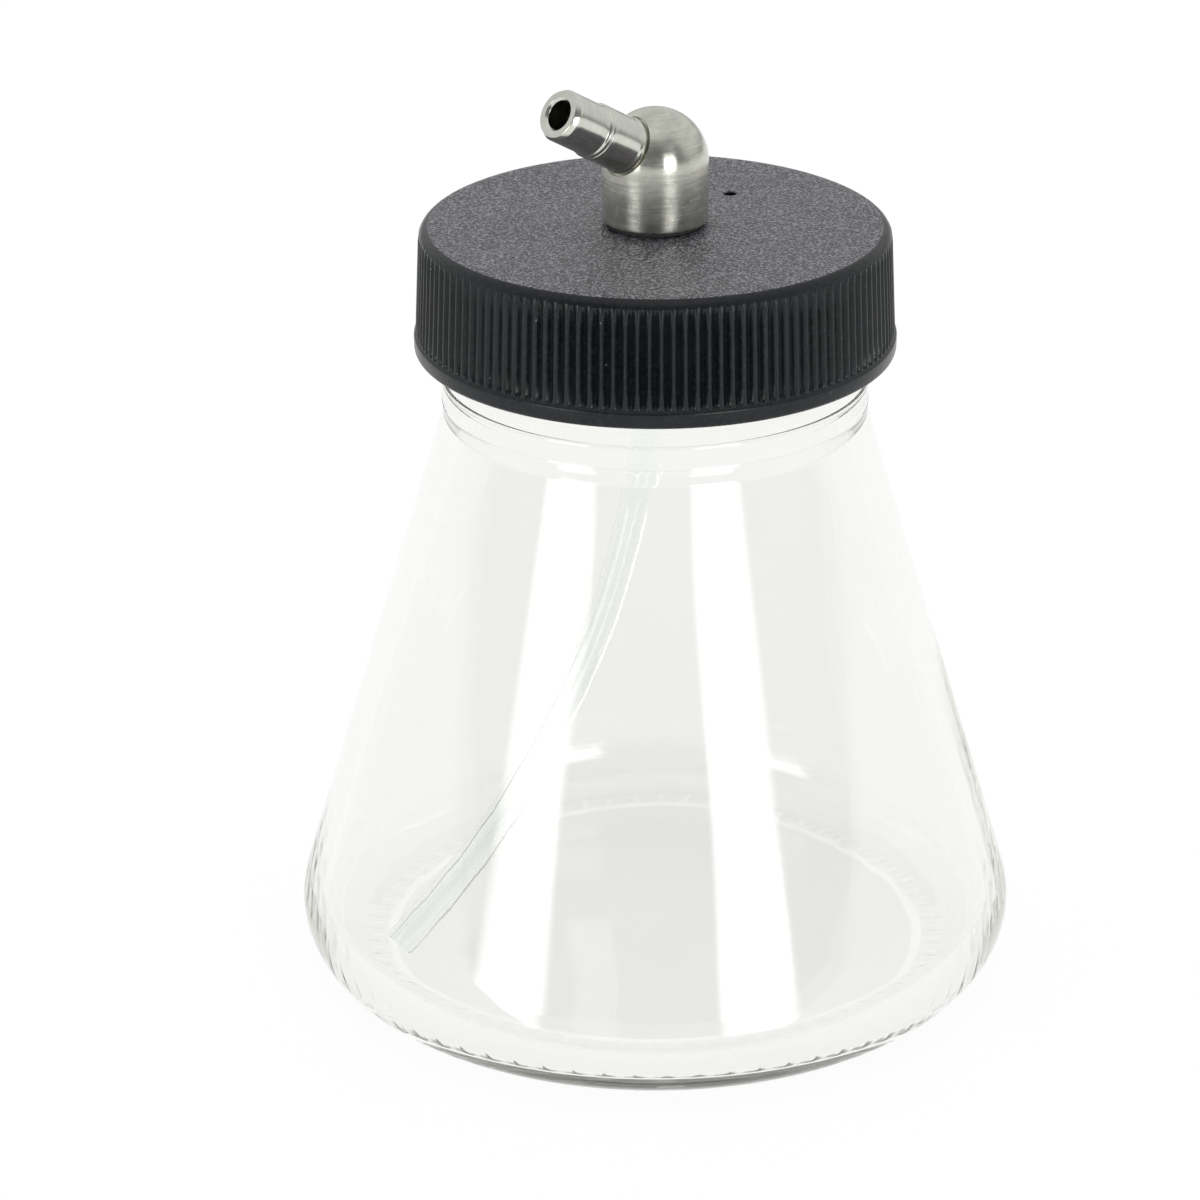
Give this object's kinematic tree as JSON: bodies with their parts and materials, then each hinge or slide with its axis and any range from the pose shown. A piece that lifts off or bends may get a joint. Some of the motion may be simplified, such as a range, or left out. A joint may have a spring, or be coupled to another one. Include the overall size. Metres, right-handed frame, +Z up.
{
  "type": "airbrush siphon-feed paint bottle",
  "caption": "Conical glass paint jar with a ribbed screw cap, an angled metal siphon spout and a curved dip tube, for a siphon-feed airbrush.",
  "frame": {"origin": "centre of the jar's foot, on the plane that it stands on", "axes": "+Z up along the jar's axis; the spout points along -Y and rises 30 degrees"},
  "size_m": [0.0612, 0.0612, 0.0788],
  "materials": {
    "clear_glass": "gloss",
    "black_plastic": "satin",
    "seal_foam": "matte",
    "plated_metal": "satin",
    "bright_metal": "satin",
    "gasket_rubber": "matte",
    "washer_steel": "brushed",
    "nut_steel": "satin",
    "tube_plastic": "gloss"
  },
  "bodies": {
    "jar": {"glass_jar": "clear_glass"},
    "seal": {"seal_ring": "seal_foam"},
    "cap": {"screw_cap": "black_plastic"},
    "siphon": {"elbow_body": "plated_metal", "spout_tube": "bright_metal", "body_gasket": "gasket_rubber", "flat_washer": "washer_steel", "hex_nut": "nut_steel", "dip_tube": "tube_plastic"}
  },
  "joints": [
    {"name": "cap_lift", "type": "slide", "parent": "jar", "child": "seal", "axis": [0, 0, 1], "range_m": [0, 0.0053]},
    {"name": "cap_turn", "type": "hinge", "parent": "seal", "child": "cap", "pos_m": [0, 0, 0.0655], "axis": [0, 0, 1], "range_deg": [0, 450]},
    {"name": "spout_swivel", "type": "hinge", "parent": "cap", "child": "siphon", "pos_m": [0, 0, 0.0662], "axis": [0, 0, 1], "continuous": true}
  ],
  "couplings": [
    {"joint": "cap_lift", "follows": "cap_turn", "m_per_rad": 0.0006737}
  ]
}
